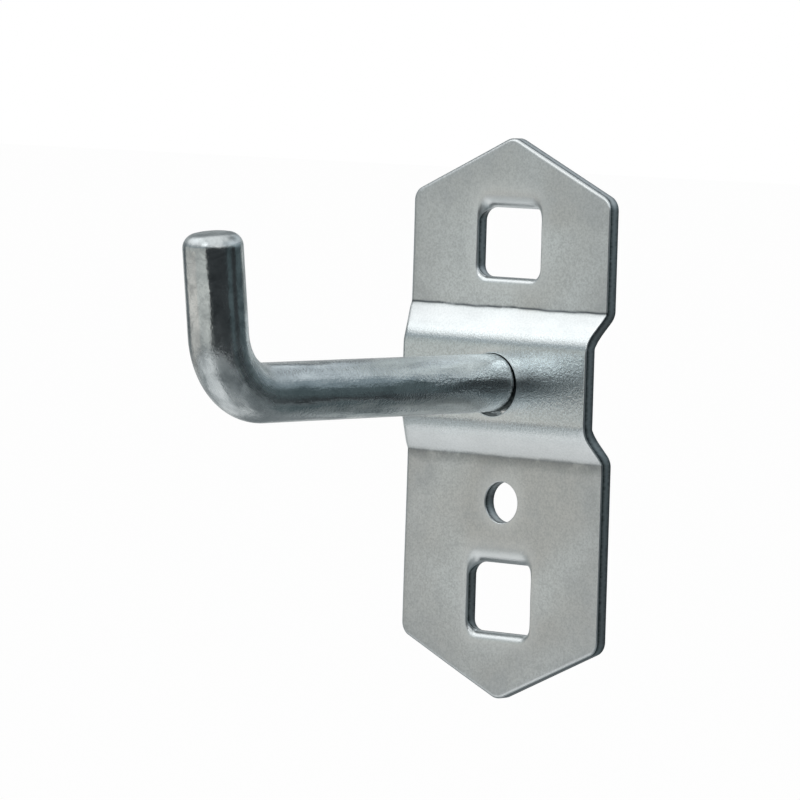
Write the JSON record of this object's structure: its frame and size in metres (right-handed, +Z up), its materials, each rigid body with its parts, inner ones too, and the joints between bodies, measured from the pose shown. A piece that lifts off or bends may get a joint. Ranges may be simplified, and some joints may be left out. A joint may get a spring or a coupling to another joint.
{
  "type": "pegboard hook",
  "caption": "Round-bar hook with an upturned tip, headed behind the raised band of a pointed sheet-steel back plate whose lanced rear tongues hang in a square-hole panel.",
  "frame": {"origin": "on the plate's back face, mid-width, at the underside of the upper tongue, which is the hang line", "axes": "+X across the plate, -Y along the bar away from the panel, +Y into the panel, +Z up"},
  "size_m": [0.0272, 0.0591, 0.0598],
  "materials": {
    "plate_zinc": "satin zinc plate on pressed sheet steel",
    "bar_zinc": "smooth zinc plate on drawn steel bar"
  },
  "bodies": {
    "root": {"back_plate": "plate_zinc", "hook_bar": "bar_zinc"}
  },
  "joints": []
}
